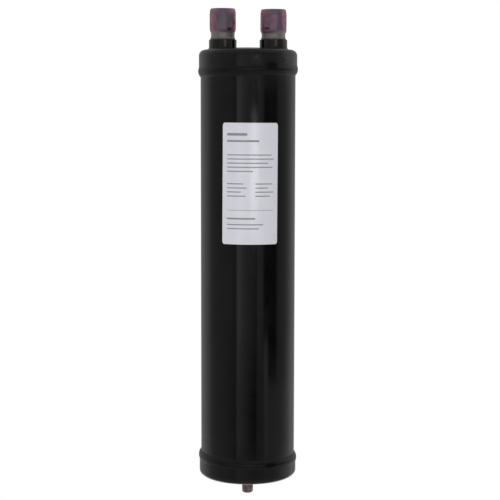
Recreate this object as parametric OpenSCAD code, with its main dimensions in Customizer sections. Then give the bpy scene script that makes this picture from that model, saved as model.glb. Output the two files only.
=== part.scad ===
// Suction line accumulator: a welded steel vessel with two copper sweat ports on its top cap,
// a U-tube pick-up inside and a fusible plug under it. The vessel axis is +Z, the plug tip is z = 0,
// the inlet port is on the -X side and the outlet port on the +X side.

/* [Body tube] */
// Outside diameter of the body tube
shell_od = 81; // [76:0.2:100]
// Wall of the body tube
shell_wall = 2; // [1.2:0.1:3]
// Height between the crests of the two seam welds
seam_span = 334; // [240:0.5:480]

/* [End caps] */
// Sheet of both pressed caps
cap_wall = 1.35; // [1:0.05:2]
// Height of the top cap from its seam to its shoulder
top_rise = 17.2; // [15:0.1:26]
// Height of the bottom cap from its seam to its shoulder
bottom_rise = 16.5; // [15:0.1:26]
// Outside radius of the corner between skirt and end
cap_corner = 5; // [4:0.1:7]
// Dish of each cap end at the vessel axis
cap_crown = 2; // [0.5:0.1:5]
// Gap between the body tube and the cap skirt over it
seam_clearance = 0.05; // [0.02:0.01:0.1]

/* [Seam welds] */
// How far the weld crest stands out from the cap skirt
bead_proud = 0.67; // [0.4:0.01:1.2]
// Radius of the rounded weld face
bead_radius = 7.2; // [6:0.1:9]

/* [Ports] */
// Distance between the two port axes as a share of the body tube
port_share = 0.532; // [0.5:0.002:0.55]
// Outside diameter of the copper port tube
port_tube_od = 20.1; // [19.5:0.05:20.6]
// Bore of the port tube below its socket
port_bore = 16; // [15:0.1:16.4]
// Gap between the port tube and the collar drawn up from the cap
port_clearance = 0.05; // [0.02:0.01:0.1]
// Outside diameter of the collar drawn up from the cap
collar_od = 23.5; // [23:0.1:24.5]
// Height of the collar above the cap shoulder
collar_rise = 8.5; // [7:0.1:12]
// Radius at the root of the collar
collar_root = 2.5; // [1:0.1:2.8]
// Plain tube showing between the collar and the socket
neck_show = 6.4; // [5:0.1:10]
// Outside diameter of the sweat socket
socket_od = 22.2; // [21.5:0.05:23]
// Bore of the sweat socket
socket_bore = 19.15; // [18.6:0.05:19.6]
// Length of the socket outside
socket_length = 19.8; // [17:0.1:24]
// Depth of the socket down to its stop
socket_depth = 16; // [12:0.1:16.5]
// Edge round of the socket mouth
socket_edge = 0.5; // [0.1:0.05:0.6]
// Reach of the port tube below the top cap
port_reach = 14; // [10:0.5:20]
// How much deeper the outlet tube sits in its collar
outlet_set = 0.7; // [0:0.1:2]
// Width of a braze fillet on the face it lies on
braze_leg = 0.95; // [0.8:0.05:1.5]
// Height of a braze fillet along its tube
braze_climb = 2.4; // [1.5:0.1:3.5]
// Thickness of a braze fillet at its thin edges
braze_edge = 0.15; // [0.1:0.05:0.3]

/* [Inlet deflector] */
// Wall of the deflector cup
deflector_wall = 1.2; // [0.8:0.1:2]
// Length of the cup below the end of the inlet tube
deflector_drop = 16; // [12:0.5:24]
// Length of the cup pressed over the inlet tube
deflector_lap = 7; // [4:0.5:9]
// Width of the side window in the cup
window_width = 15; // [10:0.5:17]
// Height of the side window in the cup
window_height = 11; // [6:0.5:14]

/* [U-tube] */
// Outside diameter of the U-tube
u_od = 15.9; // [14:0.05:15.9]
// Wall of the U-tube
u_wall = 1.2; // [0.8:0.1:2]
// Centre line radius of the bend as a share of the port spacing
bend_share = 0.45; // [0.42:0.002:0.46]
// Turn of the bend plane behind the port line
u_swing = 36; // [34:1:40]
// Length of the outlet leg inside the outlet tube
u_lap = 11; // [6:0.5:13]
// Height left open above the free leg
u_open_gap = 25; // [15:0.5:60]
// Height of the bend above the bottom cap
u_floor_gap = 15; // [13.5:0.5:30]
// Bore of the oil return orifice under the bend
orifice_d = 1.5; // [1:0.1:3]
// Bore of the anti-siphon hole near the top of the outlet leg
vent_d = 2; // [1:0.1:3]
// Drop of the anti-siphon hole below the outlet tube
vent_drop = 16; // [8:0.5:30]
// Share of the vessel height at which the legs are tied
brace_share = 0.5; // [0.3:0.05:0.7]
// Thickness of the leg brace
brace_thick = 2; // [1:0.1:4]
// Margin of the leg brace around each leg
brace_rim = 2.5; // [2:0.1:3.5]

/* [Oil screen] */
// Diameter of the orifice boss stem
boss_od = 9; // [7:0.1:10]
// Diameter of the boss flange that holds the screen
boss_flange_od = 12; // [11.5:0.1:14]
// Thickness of the boss flange
boss_flange_thick = 2.4; // [2:0.1:4]
// Stem showing between the bend and the flange
boss_stem = 1; // [0.6:0.1:3]
// Wall of the screen sleeve
screen_wall = 0.5; // [0.4:0.1:1]
// Length of the screen sleeve
screen_length = 9; // [8:0.1:9.5]
// Slots around the screen
screen_slots = 20; // [8:2:28]
// Width of one slot
slot_width = 0.9; // [0.4:0.1:1]
// Plain sleeve left above and below the slots
slot_margin = 0.6; // [0.4:0.1:1]
// Thickness of the cap that closes the screen
screen_cap_thick = 0.8; // [0.5:0.1:1.2]
// Gap of the pressed joints of the screen
screen_clearance = 0.05; // [0.02:0.01:0.1]

/* [Fusible plug] */
// Length of the plug under the bottom cap
plug_drop = 14.7; // [12:0.1:24]
// Diameter of the plug at the cap
plug_od = 10.2; // [8:0.1:12]
// Diameter of the plug near its tip
plug_tip_od = 9.4; // [7.8:0.1:12]
// Round of the plug tip
plug_round = 1.6; // [0.5:0.1:1.8]
// Diameter of the spigot through the cap
plug_spigot_od = 6.4; // [6:0.1:7.4]
// Length of the spigot above the cap sheet
plug_spigot_rise = 2; // [1:0.1:5]
// Bore that holds the fusible alloy
plug_bore = 4; // [3:0.1:4.5]
// Gap between the spigot and its hole
plug_clearance = 0.05; // [0.02:0.01:0.1]
// Depth of the alloy below the plug tip face
alloy_recess = 0.5; // [0.2:0.1:2]

/* [Label] */
// Width of the label along the curve
label_width = 48.4; // [30:0.1:70]
// Height of the label
label_height = 101.6; // [60:0.1:130]
// Drop of the label below the top seam
label_drop = 43.9; // [20:0.5:80]
// Turn of the label from the front toward the outlet
label_turn = 3.1; // [-20:0.1:20]
// Thickness of the label
label_thick = 0.2; // [0.1:0.05:0.4]
// Adhesive between the label and the body tube
label_glue = 0.05; // [0.02:0.01:0.1]
// Corner radius of the label
label_corner = 2; // [1:0.1:6]

/* [Hidden] */
$fn = 96;
cut = 1;
shell_r = shell_od / 2;
cap_inner_r = shell_r + seam_clearance;
cap_r = cap_inner_r + cap_wall;
bottom_flat_z = plug_drop + cap_crown;
bottom_seam_z = bottom_flat_z + bottom_rise;
top_seam_z = bottom_seam_z + seam_span;
top_flat_z = top_seam_z + top_rise;
shell_end_gap = 1;
shell_z0 = bottom_flat_z + cap_corner + shell_end_gap;
shell_z1 = top_flat_z - cap_corner - shell_end_gap;
port_spacing = shell_od * port_share;
port_x = port_spacing / 2;
port_r = port_tube_od / 2;
collar_bore_r = port_r + port_clearance;
collar_top_z = top_flat_z + collar_rise;
socket_z0 = collar_top_z + neck_show;
socket_z1 = socket_z0 + socket_length;
socket_step = (socket_od - port_tube_od) / 2;
stop_z = socket_z1 - socket_depth;
port_z0 = top_flat_z - cap_wall - port_reach;
outlet_z0 = port_z0 - outlet_set;
deflector_r = port_r + port_clearance + deflector_wall;
u_r = u_od / 2;
u_bend = port_spacing * bend_share;
u_top_z = outlet_z0 + u_lap;
u_bend_z = plug_drop + cap_wall + u_floor_gap + u_r + u_bend;
u_free_z = top_flat_z - cap_wall - u_open_gap;
boss_top_z = u_bend_z - u_bend - u_r;
boss_z0 = boss_top_z - boss_stem - boss_flange_thick;
screen_r = boss_flange_od / 2 + screen_clearance + screen_wall;
screen_z1 = boss_z0 + boss_flange_thick;
screen_z0 = screen_z1 - screen_length;
slot_z0 = screen_z0 + screen_cap_thick + slot_margin;
slot_height = boss_z0 - slot_margin - slot_z0;
label_angle = label_width / shell_r * 180 / PI;
label_z = top_seam_z - label_drop - label_height / 2;

paint = [0.09, 0.09, 0.1];
copper = [0.62, 0.38, 0.3];
silver = [0.72, 0.7, 0.66];
steel = [0.55, 0.56, 0.58];

// Half section of a filled cup that opens downward: radius, corner, shoulder height, lower end
module cup_half(r, corner, flat_z, low_z) {
    flat_r = r - corner;
    crown_r = (flat_r * flat_r + cap_crown * cap_crown) / (2 * cap_crown);
    translate([0, low_z])
        square([r, flat_z - corner - low_z]);
    translate([0, low_z])
        square([flat_r, flat_z - low_z]);
    translate([flat_r, flat_z - corner])
        intersection() {
            circle(r = corner);
            square([corner, corner]);
        }
    intersection() {
        translate([0, flat_z + cap_crown - crown_r])
            circle(r = crown_r, $fn = 240);
        translate([0, flat_z])
            square([flat_r, cap_crown + cut]);
    }
}

// Solid of the outer face of a cap whose rim is at z = 0
module cap_outer(rise) {
    rotate_extrude()
        cup_half(cap_r, cap_corner, rise, 0);
}

// Space inside a cap whose rim is at z = 0
module cap_space(rise) {
    rotate_extrude()
        cup_half(cap_inner_r, cap_corner - cap_wall, rise - cap_wall, -cut);
}

// Sloped braze ring around a round of radius r, standing on the plane z = 0
module fillet_ring(r, leg, climb) {
    rotate_extrude()
        polygon([
            [r, 0],
            [r + leg, 0],
            [r + leg, braze_edge],
            [r + braze_edge, climb],
            [r, climb]
        ]);
}

// Rounded weld bead lying on the rim of a cap (z = 0) and on the body tube below it
module seam_bead() {
    rotate_extrude()
        difference() {
            translate([cap_r + bead_proud - bead_radius, 0])
                circle(r = bead_radius);
            translate([0, -bead_radius - cut])
                square([shell_r, 2 * (bead_radius + cut)]);
            square([cap_r, bead_radius + cut]);
        }
}

// Places a cap piece drawn with its rim at z = 0 on the lower end of the vessel
module at_bottom() {
    translate([0, 0, bottom_seam_z])
        mirror([0, 0, 1])
            children();
}

module shell() {
    color(paint)
        translate([0, 0, shell_z0])
            difference() {
                cylinder(r = shell_r, h = shell_z1 - shell_z0);
                translate([0, 0, -cut])
                    cylinder(r = shell_r - shell_wall, h = shell_z1 - shell_z0 + 2 * cut);
            }
}

module top_cap() {
    color(paint)
        translate([0, 0, top_seam_z])
            difference() {
                union() {
                    cap_outer(top_rise);
                    for (side = [-1, 1])
                        translate([side * port_x, 0, 0])
                            collar();
                }
                cap_space(top_rise);
                for (side = [-1, 1])
                    translate([side * port_x, 0, 0])
                        cylinder(r = collar_bore_r, h = top_rise + collar_rise + cut);
            }
}

// Collar drawn up out of the cap sheet, with the radius at its root
module collar() {
    root_z = top_rise - cap_wall;
    root_h = collar_root + cap_wall;
    translate([0, 0, root_z])
        cylinder(r = collar_od / 2, h = cap_wall + collar_rise);
    rotate_extrude()
        translate([collar_od / 2 - cut, root_z])
            difference() {
                square([collar_root + cut, root_h]);
                translate([collar_root + cut, root_h])
                    circle(r = collar_root);
            }
}

module bottom_cap() {
    color(paint)
        at_bottom()
            difference() {
                cap_outer(bottom_rise);
                cap_space(bottom_rise);
                cylinder(r = plug_spigot_od / 2 + plug_clearance, h = bottom_rise + cap_crown + cut);
            }
}

module top_seam_weld() {
    color(paint)
        translate([0, 0, top_seam_z])
            seam_bead();
}

module bottom_seam_weld() {
    color(paint)
        at_bottom()
            seam_bead();
}

// Copper port: plain tube below, sweat socket swaged out above, with a stop inside
module port_fitting() {
    mouth_r = socket_od / 2 - socket_edge;
    color(copper)
        rotate_extrude()
            polygon([
                [port_bore / 2, port_z0],
                [port_r, port_z0],
                [port_r, socket_z0],
                [socket_od / 2, socket_z0 + socket_step],
                [socket_od / 2, socket_z1 - socket_edge],
                [mouth_r, socket_z1],
                [socket_bore / 2, socket_z1],
                [socket_bore / 2, stop_z],
                [port_bore / 2, stop_z]
            ]);
}

module inlet_fitting() {
    translate([-port_x, 0, 0])
        port_fitting();
}

module outlet_fitting() {
    translate([port_x, 0, -outlet_set])
        port_fitting();
}

module inlet_braze() {
    color(silver)
        translate([-port_x, 0, collar_top_z])
            fillet_ring(port_r, braze_leg, braze_climb);
}

module outlet_braze() {
    color(silver)
        translate([port_x, 0, collar_top_z])
            fillet_ring(port_r, braze_leg, braze_climb);
}

// Closed cup over the end of the inlet tube, open to the vessel wall through a side window
module inlet_deflector() {
    cup_z0 = port_z0 - deflector_drop;
    window_z = cup_z0 + deflector_wall + (deflector_drop - deflector_wall - window_height) / 2;
    color(steel)
        translate([-port_x, 0, 0])
            difference() {
                translate([0, 0, cup_z0])
                    cylinder(r = deflector_r, h = deflector_drop + deflector_lap);
                translate([0, 0, cup_z0 + deflector_wall])
                    cylinder(r = port_r + port_clearance, h = deflector_drop + deflector_lap);
                translate([-deflector_r - cut, -window_width / 2, window_z])
                    cube([deflector_r + cut, window_width, window_height]);
            }
}

// Moves a piece drawn in the plane of the bend (free leg on -X, outlet leg at the origin)
module at_u_plane() {
    translate([port_x, 0, 0])
        rotate([0, 0, -u_swing])
            children();
}

// Solid round of radius r along the U-tube's bend
module bend_round(r) {
    translate([-u_bend, 0, u_bend_z])
        rotate([90, 0, 0])
            rotate_extrude(angle = -180)
                translate([u_bend, 0])
                    circle(r = r);
}

// Outlet leg, bend and free leg as one solid round of radius r
module u_round(r, extra) {
    translate([0, 0, u_bend_z])
        cylinder(r = r, h = u_top_z - u_bend_z + extra);
    translate([-2 * u_bend, 0, u_bend_z])
        cylinder(r = r, h = u_free_z - u_bend_z + extra);
    bend_round(r);
}

module u_tube() {
    color(steel)
        at_u_plane()
            difference() {
                u_round(u_r, 0);
                u_round(u_r - u_wall, cut);
                translate([-u_bend, 0, boss_top_z - cut])
                    cylinder(r = orifice_d / 2, h = u_wall + 2 * cut);
                translate([0, 0, outlet_z0 - vent_drop])
                    rotate([0, 90, 0])
                        cylinder(r = vent_d / 2, h = u_r + cut);
            }
}

module u_tube_braze() {
    color(silver)
        translate([port_x, 0, outlet_z0])
            mirror([0, 0, 1])
                fillet_ring(u_r, port_r - u_r, braze_leg);
}

// Strap plate that ties the two legs of the U-tube
module leg_brace() {
    color(steel)
        at_u_plane()
            translate([0, 0, bottom_seam_z + seam_span * brace_share])
                linear_extrude(height = brace_thick)
                    difference() {
                        union() {
                            circle(r = u_r + brace_rim);
                            translate([-2 * u_bend, 0])
                                circle(r = u_r + brace_rim);
                            translate([-2 * u_bend, -u_r])
                                square([2 * u_bend, 2 * u_r]);
                        }
                        circle(r = u_r + screen_clearance);
                        translate([-2 * u_bend, 0])
                            circle(r = u_r + screen_clearance);
                    }
}

// Turned boss coped to the underside of the bend, with the metering bore through it
module orifice_boss() {
    color(steel)
        at_u_plane()
            difference() {
                translate([-u_bend, 0, boss_z0])
                    union() {
                        cylinder(r = boss_flange_od / 2, h = boss_flange_thick);
                        cylinder(r = boss_od / 2, h = boss_flange_thick + boss_stem + u_r / 2);
                    }
                bend_round(u_r);
                translate([-u_bend, 0, boss_z0 - cut])
                    cylinder(r = orifice_d / 2, h = boss_flange_thick + boss_stem + u_r);
            }
}

// Slotted sleeve pressed over the boss flange
module oil_screen() {
    color(steel)
        at_u_plane()
            translate([-u_bend, 0, 0])
                difference() {
                    translate([0, 0, screen_z0])
                        cylinder(r = screen_r, h = screen_length);
                    translate([0, 0, screen_z0 - cut])
                        cylinder(r = screen_r - screen_wall, h = screen_length + 2 * cut);
                    for (i = [0 : screen_slots / 2 - 1])
                        rotate([0, 0, i * 360 / screen_slots])
                            translate([-screen_r - cut, -slot_width / 2, slot_z0])
                                cube([2 * (screen_r + cut), slot_width, slot_height]);
                }
}

// Disc pressed into the lower end of the screen sleeve
module screen_cap() {
    color(steel)
        at_u_plane()
            translate([-u_bend, 0, screen_z0])
                cylinder(r = screen_r - screen_wall - screen_clearance, h = screen_cap_thick);
}

// Plug body: tapered outside, rounded tip, spigot through the cap, bore for the alloy
module fusible_plug() {
    tip_r = plug_tip_od / 2;
    arc_steps = 10;
    tip = [for (i = [0 : arc_steps])
        [tip_r - plug_round + plug_round * sin(i * 90 / arc_steps),
            plug_round - plug_round * cos(i * 90 / arc_steps)]];
    color(copper)
        rotate_extrude()
            polygon(concat(
                [[plug_bore / 2, plug_drop + cap_wall + plug_spigot_rise], [plug_bore / 2, 0]],
                tip,
                [
                    [plug_od / 2, plug_drop],
                    [plug_spigot_od / 2, plug_drop],
                    [plug_spigot_od / 2, plug_drop + cap_wall + plug_spigot_rise]
                ]
            ));
}

module fusible_alloy() {
    color(silver)
        translate([0, 0, alloy_recess])
            cylinder(r = plug_bore / 2, h = plug_drop + cap_wall + plug_spigot_rise - alloy_recess);
}

// Fillet between the plug and the underside of the cap
module plug_braze() {
    color(silver)
        translate([0, 0, plug_drop])
            mirror([0, 0, 1])
                fillet_ring(plug_od / 2, braze_leg, braze_leg);
}

// Sheet that follows the body tube, cut to a rounded rectangle
module label() {
    half_w = shell_r * sin(label_angle / 2);
    color([0.82, 0.83, 0.85])
        rotate([0, 0, label_turn])
            translate([0, 0, label_z])
                intersection() {
                    translate([0, 0, -label_height / 2])
                        difference() {
                            cylinder(r = shell_r + label_glue + label_thick, h = label_height);
                            translate([0, 0, -cut])
                                cylinder(r = shell_r + label_glue, h = label_height + 2 * cut);
                        }
                    rotate([90, 0, 0])
                        linear_extrude(height = shell_r + label_glue + label_thick + cut)
                            rounded_rect(half_w, label_height / 2, label_corner);
                }
}

// Rectangle with rounded corners, given by its half width and half height
module rounded_rect(half_w, half_h, corner) {
    square([2 * half_w, 2 * (half_h - corner)], center = true);
    square([2 * (half_w - corner), 2 * half_h], center = true);
    for (x = [-1, 1])
        for (y = [-1, 1])
            translate([x * (half_w - corner), y * (half_h - corner)])
                circle(r = corner);
}

shell();
top_cap();
bottom_cap();
top_seam_weld();
bottom_seam_weld();
inlet_fitting();
outlet_fitting();
inlet_braze();
outlet_braze();
inlet_deflector();
u_tube();
u_tube_braze();
leg_brace();
orifice_boss();
oil_screen();
screen_cap();
fusible_plug();
fusible_alloy();
plug_braze();
label();
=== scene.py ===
import bpy
import math
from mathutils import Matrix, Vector, noise


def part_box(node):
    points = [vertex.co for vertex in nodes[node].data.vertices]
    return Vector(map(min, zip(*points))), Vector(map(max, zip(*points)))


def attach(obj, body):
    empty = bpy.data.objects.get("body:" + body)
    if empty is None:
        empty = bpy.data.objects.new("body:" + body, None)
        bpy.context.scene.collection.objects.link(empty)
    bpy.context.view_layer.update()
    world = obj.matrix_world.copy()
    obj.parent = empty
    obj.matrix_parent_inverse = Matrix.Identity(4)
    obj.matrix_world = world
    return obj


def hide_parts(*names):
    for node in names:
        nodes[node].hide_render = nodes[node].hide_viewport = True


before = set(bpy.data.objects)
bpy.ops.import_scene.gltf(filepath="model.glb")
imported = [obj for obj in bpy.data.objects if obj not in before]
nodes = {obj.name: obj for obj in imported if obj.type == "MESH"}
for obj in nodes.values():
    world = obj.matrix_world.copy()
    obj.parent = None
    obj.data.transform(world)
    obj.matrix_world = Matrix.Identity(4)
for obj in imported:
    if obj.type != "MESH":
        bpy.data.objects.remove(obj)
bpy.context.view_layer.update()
scene = bpy.context.scene

# Body tube and pressed caps
# A drawn steel tube with a pressed cap over each end; two collars are drawn up out of the top cap.
# The welded vessel is sprayed as one in black gloss paint, which dried with faint orange peel.


def new_finish(name):
    finish = bpy.data.materials.new(name)
    finish.use_nodes = True
    tree = finish.node_tree
    return finish, tree, tree.nodes["Principled BSDF"]


def object_place(tree):
    return tree.nodes.new("ShaderNodeTexCoord").outputs["Object"]


def mottling(tree, place, scale, detail):
    grain = tree.nodes.new("ShaderNodeTexNoise")
    grain.inputs["Scale"].default_value = scale
    grain.inputs["Detail"].default_value = detail
    tree.links.new(place, grain.inputs["Vector"])
    return grain


def tints(tree, source, stops):
    band = tree.nodes.new("ShaderNodeValToRGB")
    elements = band.color_ramp.elements
    while len(elements) < len(stops):
        elements.new(1.0)
    for element, (position, color) in zip(elements, stops):
        element.position = position
        element.color = (*color, 1)
    tree.links.new(source, band.inputs["Fac"])
    return band.outputs["Color"]


def scaled(tree, source, start, end, low=0.0, high=1.0):
    span = tree.nodes.new("ShaderNodeMapRange")
    for label, value in (("From Min", start), ("From Max", end), ("To Min", low), ("To Max", high)):
        span.inputs[label].default_value = value
    tree.links.new(source, span.inputs["Value"])
    return span


def roughened(tree, bsdf, source, strength, depth):
    bump = tree.nodes.new("ShaderNodeBump")
    bump.inputs["Strength"].default_value = strength
    bump.inputs["Distance"].default_value = depth
    tree.links.new(source, bump.inputs["Height"])
    tree.links.new(bump.outputs["Normal"], bsdf.inputs["Normal"])


def dress(names, finish):
    for name in names:
        nodes[name].data.materials.clear()
        nodes[name].data.materials.append(finish)


paint, tree, bsdf = new_finish("black_paint")
bsdf.inputs["Specular IOR Level"].default_value = 0.3
place = object_place(tree)
mottle = mottling(tree, place, scale=70.0, detail=4.0).outputs["Fac"]
black = tints(tree, mottle, ((0.3, (0.0021, 0.0021, 0.0023)), (0.7, (0.0034, 0.0034, 0.0036))))
gloss = scaled(tree, mottle, start=0.3, end=0.7, low=0.05, high=0.09)
orange_peel = mottling(tree, place, scale=380.0, detail=2.0).outputs["Fac"]
tree.links.new(black, bsdf.inputs["Base Color"])
tree.links.new(gloss.outputs["Result"], bsdf.inputs["Roughness"])
roughened(tree, bsdf, orange_peel, strength=0.05, depth=0.0002)
dress(("shell", "top_cap", "bottom_cap"), paint)

# Seam welds
# One arc-welded bead ties each cap rim to the tube, with shallow ripples, a slow wander and a slight slant.
# Both are painted with the vessel, and both have a dull spot of painted shade, for the dark reflection of the
# crease where the torches started and stopped.


def calc(group, operation, first, second=None, third=None):
    step = group.nodes.new("ShaderNodeMath")
    step.operation = operation
    for slot, value in enumerate((first, second, third)):
        if value is None:
            continue
        if isinstance(value, (int, float)):
            step.inputs[slot].default_value = value
        else:
            group.links.new(value, step.inputs[slot])
    return step.outputs[0]


def axes_of(group, point):
    axes = group.nodes.new("ShaderNodeSeparateXYZ")
    group.links.new(point, axes.inputs[0])
    return axes.outputs["X"], axes.outputs["Y"], axes.outputs["Z"]


def point_at(group, x, y, z):
    point = group.nodes.new("ShaderNodeCombineXYZ")
    for label, value in (("X", x), ("Y", y), ("Z", z)):
        group.links.new(value, point.inputs[label])
    return point.outputs[0]


def bearing_of(group, x, y):
    # Turn from the front toward the right, in radians
    return calc(group, "ARCTAN2", x, calc(group, "MULTIPLY", y, -1.0))


def off_spot(group, position, middle, reach):
    # Square of the distance from the middle of a spot, where its edge counts as one
    return calc(group, "POWER", calc(group, "DIVIDE", calc(group, "SUBTRACT", position, middle), reach), 2.0)


# Painted shade: the paint's reflection is dulled in one spot on each bead, at the crease left where the torch
# started and stopped
shade_spot_bearing = math.radians(28)
shade_spot_turn = math.radians(9)
top_shade_height = 0.3702
top_shade_reach = 0.0038
bottom_shade_height = 0.0333
bottom_shade_reach = 0.0026
x, y, z = axes_of(tree, place)
aside = off_spot(tree, bearing_of(tree, x, y), shade_spot_bearing, shade_spot_turn)
top_shade_spot = calc(tree, "ADD", aside, off_spot(tree, z, top_shade_height, top_shade_reach))
bottom_shade_spot = calc(tree, "ADD", aside, off_spot(tree, z, bottom_shade_height, bottom_shade_reach))
nearest = calc(tree, "MINIMUM", top_shade_spot, bottom_shade_spot)
dull = scaled(tree, nearest, start=0.2, end=1.0, low=0.05, high=0.3)
dull.name = "dull"
tree.links.new(dull.outputs["Result"], bsdf.inputs["Specular IOR Level"])


def paint_coat(name, shine):
    coat = paint.copy()
    coat.name = name
    coat.node_tree.nodes["dull"].inputs["To Max"].default_value = shine
    return coat


def size_inputs(group, kinds):
    group.interface.new_socket("Geometry", in_out="OUTPUT", socket_type="NodeSocketGeometry")
    return {label: group.interface.new_socket(label, in_out="INPUT", socket_type=kind).identifier
            for label, kind in kinds.items()}


def finish_tree(group, geometry, finish):
    real = group.nodes.new("GeometryNodeRealizeInstances")
    group.links.new(geometry, real.inputs[0])
    coat = group.nodes.new("GeometryNodeSetMaterial")
    coat.inputs["Material"].default_value = finish
    group.links.new(real.outputs[0], coat.inputs["Geometry"])
    group.links.new(coat.outputs[0], group.nodes.new("NodeGroupOutput").inputs[0])


def grown(name, group, sockets, sizes):
    piece = bpy.data.objects.new(name, bpy.data.meshes.new(name))
    scene.collection.objects.link(piece)
    grow = piece.modifiers.new("grow", "NODES")
    grow.node_group = group
    for label, value in sizes.items():
        grow[sockets[label]] = value
    shape = bpy.data.meshes.new_from_object(piece.evaluated_get(bpy.context.evaluated_depsgraph_get()))
    piece.modifiers.clear()
    piece.data = shape
    return piece


bead = bpy.data.node_groups.new("seam_bead", "GeometryNodeTree")
bead_sizes = ("Crest Radius", "Face Radius", "Tube Side", "Cap Side", "Height", "Side", "Slant", "Ripples",
              "Ripple Depth", "Wander")
bead_sockets = size_inputs(bead, dict.fromkeys(bead_sizes, "NodeSocketFloat"))
given = bead.nodes.new("NodeGroupInput").outputs
strip = bead.nodes.new("GeometryNodeMeshGrid")
for label, value in (("Size X", 2 * math.pi), ("Size Y", 1.0), ("Vertices X", 1081), ("Vertices Y", 19)):
    strip.inputs[label].default_value = value
turn, across, _ = axes_of(bead, bead.nodes.new("GeometryNodeInputPosition").outputs[0])
cosine = calc(bead, "COSINE", turn)
sine = calc(bead, "SINE", turn)

# Ripples are crescents that bow across the bead, and their spacing drifts as the torch did
crescent_bow = 9.0
spacing_drift = 9.0
slow = mottling(bead, point_at(bead, cosine, sine, given["Side"]), scale=2.6, detail=2.0).outputs["Fac"]
drift = calc(bead, "SUBTRACT", slow, 0.5)
bow = calc(bead, "MULTIPLY", calc(bead, "MULTIPLY", across, across), crescent_bow)
phase = calc(bead, "MULTIPLY_ADD", turn, given["Ripples"], bow)
phase = calc(bead, "ADD", phase, calc(bead, "MULTIPLY", drift, spacing_drift))
dip = calc(bead, "SUBTRACT", calc(bead, "SINE", phase), 1.0)
ripple = calc(bead, "MULTIPLY", dip, given["Ripple Depth"])

# The face is an arc from the tube to the cap, carried round the seam
span = calc(bead, "SUBTRACT", given["Cap Side"], given["Tube Side"])
lean = calc(bead, "MULTIPLY_ADD", calc(bead, "ADD", across, 0.5), span, given["Tube Side"])
reach = calc(bead, "ADD", given["Face Radius"], ripple)
middle = calc(bead, "SUBTRACT", given["Crest Radius"], given["Face Radius"])
radius = calc(bead, "MULTIPLY_ADD", reach, calc(bead, "COSINE", lean), middle)
rise = calc(bead, "MULTIPLY", calc(bead, "MULTIPLY", reach, calc(bead, "SINE", lean)), given["Side"])
level = calc(bead, "MULTIPLY_ADD", cosine, given["Slant"], given["Height"])
level = calc(bead, "MULTIPLY_ADD", drift, given["Wander"], level)
ahead = calc(bead, "MULTIPLY", radius, cosine)
aside = calc(bead, "MULTIPLY", radius, sine)
bend = bead.nodes.new("GeometryNodeSetPosition")
bead.links.new(strip.outputs["Mesh"], bend.inputs["Geometry"])
bead.links.new(point_at(bead, ahead, aside, calc(bead, "ADD", rise, level)), bend.inputs["Position"])
close = bead.nodes.new("GeometryNodeMergeByDistance")
close.inputs["Distance"].default_value = 0.000002
bead.links.new(bend.outputs[0], close.inputs["Geometry"])
smooth = bead.nodes.new("GeometryNodeSetShadeSmooth")
bead.links.new(close.outputs[0], smooth.inputs[0])
finish_tree(bead, smooth.outputs[0], paint_coat("bead_paint", shine=0.22))

# Both edges of a bead are tucked a little under the steel that it joins
cap_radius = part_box("top_cap")[1].x
tube_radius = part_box("shell")[1].x
crest_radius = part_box("top_seam_weld")[1].x
face_radius = 0.0072
edge_tuck = 0.1
tube_edge = math.acos((tube_radius - crest_radius + face_radius) / face_radius)
cap_edge = math.acos((cap_radius - crest_radius + face_radius) / face_radius)
tube_edge_drop = face_radius * math.sin(tube_edge)
for name, side, slant in (("top_seam_weld", 1.0, 0.0008), ("bottom_seam_weld", -1.0, -0.0012)):
    low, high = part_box(name)
    seam = low.z + tube_edge_drop if side > 0 else high.z - tube_edge_drop
    weld = grown(name + "_bead", bead, bead_sockets, {
        "Crest Radius": crest_radius, "Face Radius": face_radius, "Tube Side": -tube_edge - edge_tuck,
        "Cap Side": cap_edge + edge_tuck, "Height": seam, "Side": side, "Slant": slant, "Ripples": 118.0,
        "Ripple Depth": 0.00007, "Wander": 0.0008})
    face = weld.data.polygons[0]
    if face.normal.dot(Vector((face.center.x, face.center.y, 0))) < 0:
        weld.data.flip_normals()
    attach(weld, "root")
    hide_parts(name)

# Weld spatter
# A small patch of spatter dots stuck to the top cap above the seam on the outlet side and was painted over.
# Each dot is a bead of steel that stands a fraction of a millimetre proud of the cap.
dots = bpy.data.node_groups.new("spatter", "GeometryNodeTree")
dot_sockets = size_inputs(dots, {
    "Dots": "NodeSocketInt", "Radius": "NodeSocketFloat", "Bearing": "NodeSocketFloat",
    "Height": "NodeSocketFloat", "Spread Turn": "NodeSocketFloat", "Spread Height": "NodeSocketFloat",
    "Seed": "NodeSocketInt"})
given = dots.nodes.new("NodeGroupInput").outputs


def chance(offset, low, high):
    pick = dots.nodes.new("FunctionNodeRandomValue")
    pick.data_type = "FLOAT"
    pick.inputs[2].default_value = low
    pick.inputs[3].default_value = high
    dots.links.new(calc(dots, "ADD", given["Seed"], offset), pick.inputs["Seed"])
    return pick.outputs[1]


def scattered(offset, spread, middle):
    # Two even draws are added, so that the dots gather toward the middle of the patch
    both = calc(dots, "ADD", chance(offset, -0.5, 0.5), chance(offset + 1, -0.5, 0.5))
    return calc(dots, "MULTIPLY_ADD", both, given[spread], given[middle])


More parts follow.
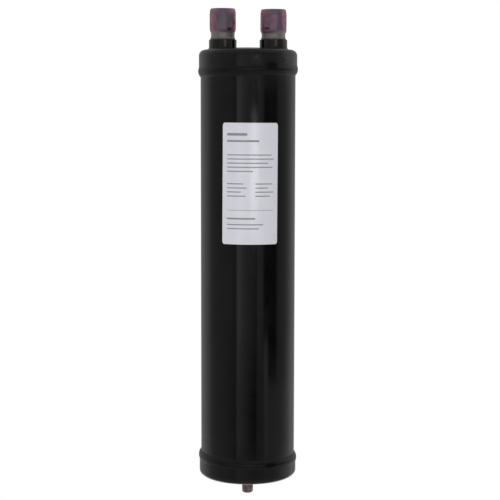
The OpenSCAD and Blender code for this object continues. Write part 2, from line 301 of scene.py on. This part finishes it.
bearing = scattered(1, "Spread Turn", "Bearing")
height = scattered(3, "Spread Height", "Height")
aside = calc(dots, "MULTIPLY", calc(dots, "SINE", bearing), given["Radius"])
ahead = calc(dots, "MULTIPLY", calc(dots, "MULTIPLY", calc(dots, "COSINE", bearing), given["Radius"]), -1.0)
cloud = dots.nodes.new("GeometryNodePoints")
dots.links.new(given["Dots"], cloud.inputs["Count"])
dots.links.new(point_at(dots, aside, ahead, height), cloud.inputs["Position"])
drop = dots.nodes.new("GeometryNodeMeshUVSphere")
for label, value in (("Segments", 16), ("Rings", 10), ("Radius", 0.0013)):
    drop.inputs[label].default_value = value
soft = dots.nodes.new("GeometryNodeSetShadeSmooth")
dots.links.new(drop.outputs["Mesh"], soft.inputs[0])
stick = dots.nodes.new("GeometryNodeInstanceOnPoints")
dots.links.new(cloud.outputs[0], stick.inputs["Points"])
dots.links.new(soft.outputs[0], stick.inputs["Instance"])
dots.links.new(chance(5, 0.4, 0.85), stick.inputs["Scale"])
finish_tree(dots, stick.outputs[0], paint_coat("lump_paint", shine=1.0))
dot_sink = 0.0004
spatter = grown("weld_spatter", dots, dot_sockets, {
    "Dots": 16, "Radius": cap_radius - dot_sink, "Bearing": math.radians(49), "Height": 0.3768,
    "Spread Turn": math.radians(9), "Spread Height": 0.006, "Seed": 7})
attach(spatter, "root")

# Copper port fittings
# Swaged copper sweat sockets, brazed into the collars; heat left them purple-brown with grey-blue patches.
# The plain neck is greyer, from flux and scale, and each swage has a burnt spot of flux at its foot.


def mixed(tree, share, first, second):
    mix = tree.nodes.new("ShaderNodeMix")
    mix.data_type = "RGBA"
    for slot, value in ((0, share), (6, first), (7, second)):
        if isinstance(value, bpy.types.NodeSocket):
            tree.links.new(value, mix.inputs[slot])
        else:
            mix.inputs[slot].default_value = value
    return mix


copper, tree, bsdf = new_finish("heat_tinted_copper")
bsdf.inputs["Metallic"].default_value = 0.85
place = object_place(tree)
x, y, z = axes_of(tree, place)
patches = mottling(tree, place, scale=130.0, detail=4.0)
patches.inputs["Distortion"].default_value = 0.6
heat = patches.outputs["Fac"]
# The tint leans grey-blue on the front of each fitting and purple-brown round its sides
front_shift = scaled(tree, y, start=-0.005, end=-0.0108, low=-0.1, high=0.14).outputs["Result"]
tint = tints(tree, calc(tree, "ADD", heat, front_shift), (
    (0.27, (0.1, 0.055, 0.05)), (0.37, (0.34, 0.15, 0.19)), (0.52, (0.28, 0.145, 0.2)),
    (0.65, (0.18, 0.13, 0.175)), (0.78, (0.15, 0.14, 0.165))))
neck_grey = (0.26, 0.232, 0.227, 1)
neck_top = 0.3985
swage_foot = 0.4012
swaged = scaled(tree, z, start=neck_top, end=swage_foot).outputs["Result"]
skin = mixed(tree, swaged, neck_grey, tint).outputs[2]
burnt_flux = (0.025, 0.012, 0.01, 1)
# Burnt spots as (place across, height, reach across, reach up), one on each swage
flux_spots = ((-0.0158, 0.4018, 0.0021, 0.0016), (0.0158, 0.4021, 0.003, 0.0012))
burns = [calc(tree, "ADD", off_spot(tree, x, spot_x, wide), off_spot(tree, z, spot_z, tall))
         for spot_x, spot_z, wide, tall in flux_spots]
behind = calc(tree, "MULTIPLY", calc(tree, "GREATER_THAN", y, 0.0), 2.0)
nearest = calc(tree, "ADD", calc(tree, "MINIMUM", burns[0], burns[1]), behind)
char = scaled(tree, nearest, start=0.25, end=1.2, low=0.85, high=0.0).outputs["Result"]
dulled = scaled(tree, heat, start=0.0, end=1.0, low=0.28, high=0.5).outputs["Result"]
tree.links.new(mixed(tree, char, skin, burnt_flux).outputs[2], bsdf.inputs["Base Color"])
tree.links.new(dulled, bsdf.inputs["Roughness"])
roughened(tree, bsdf, heat, strength=0.2, depth=0.0002)


def arc(middle_r, middle_z, size, start, end, steps):
    angles = [math.radians(start + (end - start) * i / steps) for i in range(steps + 1)]
    return [(middle_r + size * math.cos(angle), middle_z + size * math.sin(angle)) for angle in angles]


crease = math.radians(40)


def smooth_piece(name, points, faces, finish):
    shape = bpy.data.meshes.new(name)
    shape.from_pydata(points, [], faces)
    shape.polygons.foreach_set("use_smooth", [True] * len(shape.polygons))
    shape.set_sharp_from_angle(angle=crease)
    shape.materials.append(finish)
    piece = bpy.data.objects.new(name, shape)
    scene.collection.objects.link(piece)
    return piece


def turned(name, profile, axis_x, around, uneven, finish):
    # A closed profile of (radius, height) is turned round an upright axis, with slow unevenness from handwork
    round_pace = 1.5
    height_pace = 300
    axis_pace = 90
    points = []
    for i in range(around):
        angle = 2 * math.pi * i / around
        for r, z in profile:
            pick = Vector((math.cos(angle) * round_pace, math.sin(angle) * round_pace,
                           z * height_pace + axis_x * axis_pace))
            shaken = r + noise.noise(pick) * uneven
            points.append((axis_x + shaken * math.cos(angle), shaken * math.sin(angle), z))
    count = len(profile)
    faces = []
    for i in range(around):
        here = i * count
        there = (i + 1) % around * count
        for j in range(count):
            k = (j + 1) % count
            faces.append((here + j, there + j, there + k, here + k))
    return smooth_piece(name, points, faces, finish)


neck = 0.01005
bore = 0.008
socket_bore = 0.009575
socket_depth = 0.016
swage_length = 0.0198
flare_height = 0.0032
mouth_round = 0.0003
stop_radius = 0.0092
stop_bevel = 0.0005
bore_bevel = 0.0004
# The flare as (out, up) from the neck, and the drawn-in mouth as (in, down) from the socket's outside
flare = ((0.0, -0.0012), (0.00008, -0.0005), (0.0003, 0.0001), (0.00058, 0.0007), (0.0008, 0.0013),
         (0.00098, 0.002))
draw_in = ((0.0, 0.005), (0.0001, 0.0031), (0.00028, 0.0019), (0.0005, 0.001), (0.00075, 0.0004),
           (0.001, 0.0))
for name in ("inlet_fitting", "outlet_fitting"):
    low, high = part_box(name)
    axis_x = (low.x + high.x) / 2
    socket = (high.x - low.x) / 2
    mouth = high.z
    swage = mouth - swage_length
    stop = mouth - socket_depth
    profile = [(bore, low.z), (neck, low.z)]
    profile += [(neck + out, swage + up) for out, up in flare]
    profile += [(socket, swage + flare_height)]
    profile += [(socket - inward, mouth - down) for inward, down in draw_in]
    profile += arc(socket_bore + mouth_round, mouth - mouth_round, mouth_round, 90, 180, 4)
    profile += [(socket_bore, stop + stop_bevel), (stop_radius, stop)]
    profile += [(bore + bore_bevel, stop), (bore, stop - bore_bevel)]
    fitting = turned(name + "_tube", profile, axis_x, around=128, uneven=0.00005, finish=copper)
    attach(fitting, "root")
    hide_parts(name)

# Braze fillets at the collar mouths
# Brazing alloy wicked up round each fitting and froze as an uneven ring on the collar.
# It is warm grey above and turns dark red-brown toward its foot on the painted collar.
braze, tree, bsdf = new_finish("braze_alloy")
bsdf.inputs["Metallic"].default_value = 0.7
bsdf.inputs["Roughness"].default_value = 0.42
place = object_place(tree)
z = axes_of(tree, place)[2]
blotch = mottling(tree, place, scale=260.0, detail=3.0).outputs["Fac"]
# The tone darkens toward the foot of each ring, along a wavering edge
foot_waver = 0.0016
dark_foot_height = 0.3936
grey_top_height = 0.3954
foot_to_top = scaled(tree, calc(tree, "MULTIPLY_ADD", blotch, foot_waver, z), dark_foot_height, grey_top_height).outputs["Result"]
braze_tone = tints(tree, foot_to_top, (
    (0.0, (0.03, 0.012, 0.012)), (0.45, (0.13, 0.09, 0.085)), (1.0, (0.2, 0.165, 0.163))))
tree.links.new(braze_tone, bsdf.inputs["Base Color"])
# Section of a ring as (radius, height above its foot)
fillet = ((0.00995, 0.00002), (0.01082, 0.00002), (0.01084, 0.0003), (0.01066, 0.0007), (0.01048, 0.0011),
          (0.01032, 0.0016), (0.01016, 0.0021), (0.00995, 0.0024))
for name in ("inlet_braze", "outlet_braze"):
    low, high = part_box(name)
    axis_x = (low.x + high.x) / 2
    profile = [(r, low.z + up) for r, up in fillet]
    ring = turned(name + "_ring", profile, axis_x, around=96, uneven=0.00014, finish=braze)
    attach(ring, "root")
    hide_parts(name)

# Fusible plug
# A turned copper-alloy plug brazed into the middle of the bottom cap, dark with tarnish.
# Its core is a low-melting alloy that lets the charge out in a fire.
tarnish, tree, bsdf = new_finish("plug_copper")
bsdf.inputs["Metallic"].default_value = 0.9
bsdf.inputs["Roughness"].default_value = 0.36
blotch = mottling(tree, object_place(tree), scale=240.0, detail=3.0).outputs["Fac"]
skin = tints(tree, blotch, ((0.3, (0.1, 0.06, 0.06)), (0.7, (0.37, 0.235, 0.235))))
tree.links.new(skin, bsdf.inputs["Base Color"])
dress(("fusible_plug", "plug_braze"), tarnish)

# Inner pieces
# Plain drawn-steel U-tube, brace, deflector, orifice boss and screen, sealed inside the vessel.
# They keep the mill surface, with a thin film of oil; the plug's core has the same bare grey.
steel, tree, bsdf = new_finish("bare_steel")
bsdf.inputs["Metallic"].default_value = 1.0
stretch = tree.nodes.new("ShaderNodeMapping")
stretch.inputs["Scale"].default_value = (400, 400, 30)
tree.links.new(object_place(tree), stretch.inputs["Vector"])
draw_marks = mottling(tree, stretch.outputs["Vector"], scale=1.0, detail=3.0).outputs["Fac"]
mill = tints(tree, draw_marks, ((0.3, (0.32, 0.32, 0.32)), (0.7, (0.5, 0.5, 0.51))))
oiled = scaled(tree, draw_marks, start=0.0, end=1.0, low=0.25, high=0.45).outputs["Result"]
tree.links.new(mill, bsdf.inputs["Base Color"])
tree.links.new(oiled, bsdf.inputs["Roughness"])
dress(("u_tube", "u_tube_braze", "leg_brace", "inlet_deflector", "orifice_boss", "oil_screen", "screen_cap",
       "fusible_alloy"), steel)

# Label
# A pale satin film label with rounded corners, stuck to the tube a touch off square.
# It carries rows of plain grey bars, set from the left, in one thin ink.
low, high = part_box("label")
half_tall = (high.z - low.z) / 2
mid_z = (high.z + low.z) / 2
half_wide = 0.0242
corner = 0.002
glue = 0.00005
film = 0.0002
label_turn = math.radians(3.1)
label_tip = math.radians(0.35)
tip_trim = 0.0002
film_radius = tube_radius + glue


def on_tube(u, v, radius):
    along = u * math.cos(label_tip) + v * math.sin(label_tip)
    up = v * math.cos(label_tip) - u * math.sin(label_tip)
    bearing = label_turn + along / tube_radius
    return (radius * math.sin(bearing), -radius * math.cos(bearing), mid_z + up)


stock, tree, bsdf = new_finish("label_film")
bsdf.inputs["Roughness"].default_value = 0.11
fibre = mottling(tree, object_place(tree), scale=90.0, detail=5.0).outputs["Fac"]
pale = tints(tree, fibre, ((0.3, (0.575, 0.582, 0.632)), (0.7, (0.605, 0.612, 0.66))))
tree.links.new(pale, bsdf.inputs["Base Color"])
columns = 64
points = []
for i in range(columns + 1):
    u = -half_wide + 2 * half_wide * i / columns
    inset = max(0.0, abs(u) - (half_wide - corner))
    tall = half_tall - tip_trim - corner + math.sqrt(max(0.0, corner * corner - inset * inset))
    points += [on_tube(u, v, radius) for v in (tall, -tall) for radius in (film_radius, film_radius + film)]
faces = []
for a in range(0, columns * 4, 4):
    b = a + 4
    faces += [(a + 1, a + 3, b + 3, b + 1), (a, b, b + 2, a + 2)]
    faces += [(a, a + 1, b + 1, b), (a + 2, b + 2, b + 3, a + 3)]
end = columns * 4
faces += [(0, 2, 3, 1), (end, end + 1, end + 3, end + 2)]
sticker = smooth_piece("label_film", points, faces, stock)
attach(sticker, "root")
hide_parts("label")

ink, tree, bsdf = new_finish("label_ink")
bsdf.inputs["Roughness"].default_value = 0.5
fade = mottling(tree, object_place(tree), scale=700.0, detail=2.0).outputs["Fac"]
grey = tints(tree, fade, ((0.0, (0.16, 0.165, 0.18)), (1.0, (0.3, 0.305, 0.32))))
tree.links.new(grey, bsdf.inputs["Base Color"])
# Bars as (left end, height, length, thickness) in millimetres from the middle of the label
left = -20
second = 4
pitch = 3.4
line = 0.9
bars = [(left, 41, 17, 2.2), (left, 35.5, 27, 1.6)]
for column, top, lengths in ((left, 24, (38, 40, 35, 39, 22)), (left, 0, (14, 17, 12, 16)),
                             (second, 0, (15, 11, 16, 13))):
    bars += [(column, top - pitch * i, length, line) for i, length in enumerate(lengths)]
bars += [(left, -22, 40, 0.4), (left, -29, 24, 1.4), (left, -34, 31, line), (left, -37.4, 27, line)]
ink_lift = 0.00003
ink_radius = film_radius + film + ink_lift
points = []
faces = []
for start, height, length, thick in bars:
    steps = max(2, int(length))
    base = len(points)
    for i in range(steps + 1):
        u = (start + length * i / steps) / 1000
        points += [on_tube(u, (height + edge) / 1000, ink_radius) for edge in (thick / 2, -thick / 2)]
    faces += [(a, a + 1, a + 3, a + 2) for a in range(base, base + 2 * steps, 2)]
shape = bpy.data.meshes.new("label_bars")
shape.from_pydata(points, [], faces)
shape.materials.append(ink)
printed = bpy.data.objects.new("label_bars", shape)
scene.collection.objects.link(printed)
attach(printed, "root")

# Floor
# A plain pale floor well below the vessel, which hangs from its pipes; it reads as white to the camera.
floor_finish, tree, bsdf = new_finish("pale_floor")
bsdf.inputs["Base Color"].default_value = (0.85, 0.85, 0.85, 1)
bsdf.inputs["Roughness"].default_value = 0.8
white = tree.nodes.new("ShaderNodeEmission")
path = tree.nodes.new("ShaderNodeLightPath")
blend = tree.nodes.new("ShaderNodeMixShader")
tree.links.new(path.outputs["Is Camera Ray"], blend.inputs[0])
tree.links.new(bsdf.outputs[0], blend.inputs[1])
tree.links.new(white.outputs[0], blend.inputs[2])
tree.links.new(blend.outputs[0], tree.nodes["Material Output"].inputs["Surface"])
floor_reach = 6
floor_z = -0.45
corners = [(x * floor_reach, y * floor_reach, floor_z) for x, y in ((-1, -1), (1, -1), (1, 1), (-1, 1))]
shape = bpy.data.meshes.new("floor")
shape.from_pydata(corners, [], [(0, 1, 2, 3)])
shape.materials.append(floor_finish)
floor = bpy.data.objects.new("floor", shape)
scene.collection.objects.link(floor)
floor.visible_glossy = False

# Studio
# White surround for the camera and soft even light for the object. What the gloss paint mirrors is a dim
# room: pale side walls, a strip of light left of the camera, a fainter one and a dark flag right of it, a
# round lamp and a glow low behind the vessel.
world = bpy.data.worlds.new("studio")
scene.world = world
world.use_nodes = True
tree = world.node_tree
x, y, z = axes_of(tree, tree.nodes.new("ShaderNodeTexCoord").outputs["Generated"])
bearing = bearing_of(tree, x, y)
whole_turn = calc(tree, "MULTIPLY_ADD", bearing, 0.5 / math.pi, 0.5)

# The room at several heights, as (bearing in degrees from the camera, light level)
left_wall = ((-180, 0.3), (-156, 0.36), (-138, 0.55), (-122, 0.66))
right_wall = ((144, 0.5), (156, 0.36), (180, 0.3))
collars = ((-180, 0.3), (-156, 0.4), (-138, 0.7), (-122, 0.95), (-98, 0.88), (-31, 0.55), (-14, 0.78),
           (9, 0.82), (17, 3.8), (25, 3.8), (32, 0.7), (45, 0.58), (66, 0.58), (78, 0.8), (97, 1.05),
           (117, 1.15), (144, 0.6), (156, 0.4), (180, 0.3))
above = (*left_wall, (-112, 0.68), (-98, 0.54), (-80, 0.46), (-29, 0.27), (-25, 0.48), (7, 0.43),
         (10.5, 0.56), (14, 0.36), (23, 0.29), (66, 0.31), (78, 0.5), (97, 0.72), (108, 0.9), *right_wall)
upper = (*left_wall, (-112, 0.64), (-98, 0.4), (-80, 0.33), (-42, 0.32), (-29, 0.2), (-25, 0.92),
         (-18, 0.88), (-13, 0.64), (-2, 0.42), (22, 0.16), (24, 0.42), (31, 0.42), (37, 0.3), (42, 0.01),
         (72, 0.01), (78, 0.27), (104, 0.37), (126, 0.58), *right_wall)
taper = (*left_wall, (-112, 0.64), (-98, 0.4), (-80, 0.33), (-56, 0.33), (-29, 0.18), (-25, 0.74),
         (-14, 0.48), (-2, 0.3), (21, 0.06), (23, 0.3), (39, 0.31), (42, 0.66), (47, 0.62), (51, 0.3),
         (54, 0.01), (72, 0.01), (78, 0.27), (95, 0.3), (126, 0.66), *right_wall)
lower = (*left_wall, (-112, 0.64), (-98, 0.4), (-80, 0.33), (-56, 0.33), (-29, 0.17), (-25, 0.56),
         (10, 0.08), (20, 0.01), (23, 0.2), (40, 0.28), (44, 0.52), (49, 0.5), (55, 0.4), (82, 0.4),
         (95, 0.44), (126, 0.7), *right_wall)
below = (*left_wall, (-112, 0.66), (-98, 0.5), (-80, 0.44), (-31, 0.27), (-25, 0.38), (20, 0.3), (40, 0.3),
         (66, 0.36), (82, 0.6), (95, 0.78), (116, 0.82), (126, 0.75), *right_wall)
back_glow = ((-180, 1.3), (-148, 1.2), (-132, 0.46), (132, 0.46), (148, 1.2), (180, 1.3))
flag_start = 36
flag_lift = 0.34
under_seam = [(angle, max(level, flag_lift) if angle > flag_start else level) for angle, level in upper]
ground = (0.46, 0.46, 0.46, 1)
ceiling = (0.52, 0.52, 0.52, 1)


def wall_light(stops):
    return tints(tree, whole_turn, [((angle + 180) / 360, (level, level, level)) for angle, level in stops])


# Each light takes over between two heights, given as the upward part of the mirrored direction
above_light = wall_light(above)
mirrored = above_light
for start, end, light in (
        (0.064, 0.058, wall_light(collars)), (0.048, 0.0445, above_light),
        (0.03, 0.024, wall_light(under_seam)), (0.026, 0.01, wall_light(upper)),
        (-0.154, -0.172, wall_light(taper)), (-0.183, -0.198, wall_light(lower)),
        (-0.238, -0.256, wall_light(below)), (-0.34, -0.46, wall_light(back_glow)),
        (-0.66, -0.9, ground), (0.35, 0.7, ceiling)):
    share = scaled(tree, z, start, end).outputs["Result"]
    mirrored = mixed(tree, share, mirrored, light).outputs[2]

lamp_bearing = math.radians(15.6)
lamp_turn = math.radians(15)
lamp_height = -0.0445
lamp_reach = 0.046
lamp_aside = off_spot(tree, bearing, lamp_bearing, lamp_turn)
off_lamp = calc(tree, "ADD", lamp_aside, off_spot(tree, z, lamp_height, lamp_reach))
lamp_glow = scaled(tree, off_lamp, start=1.0, end=0.0, high=3.6)
lamp_glow.interpolation_type = "SMOOTHSTEP"
lamp = mixed(tree, 1.0, mirrored, lamp_glow.outputs["Result"])
lamp.blend_type = "ADD"

# Soft light comes mostly from the front, a little more from the left, and the camera itself sees white
even_level = 0.835
front_share = -0.66
right_share = -0.12
front_light = calc(tree, "MULTIPLY_ADD", y, front_share, even_level)
soft_light = calc(tree, "MULTIPLY_ADD", x, right_share, front_light)
path = tree.nodes.new("ShaderNodeLightPath").outputs
lit = mixed(tree, path["Is Glossy Ray"], soft_light, lamp.outputs[2]).outputs[2]
straight = calc(tree, "MAXIMUM", path["Is Camera Ray"], path["Is Transmission Ray"])
seen = mixed(tree, straight, lit, (1, 1, 1, 1)).outputs[2]
tree.links.new(seen, tree.nodes["Background"].inputs["Color"])

look_down = 5.72
roll = -0.08
lens = bpy.data.cameras.new("camera")
lens.lens = 100.6
lens.sensor_width = 36.0
camera = bpy.data.objects.new("camera", lens)
camera.location = (0.0017, -1.2, 0.3336)
camera.rotation_euler = (math.radians(90 - look_down), math.radians(roll), 0)
scene.collection.objects.link(camera)
scene.camera = camera
scene.view_settings.view_transform = "Standard"
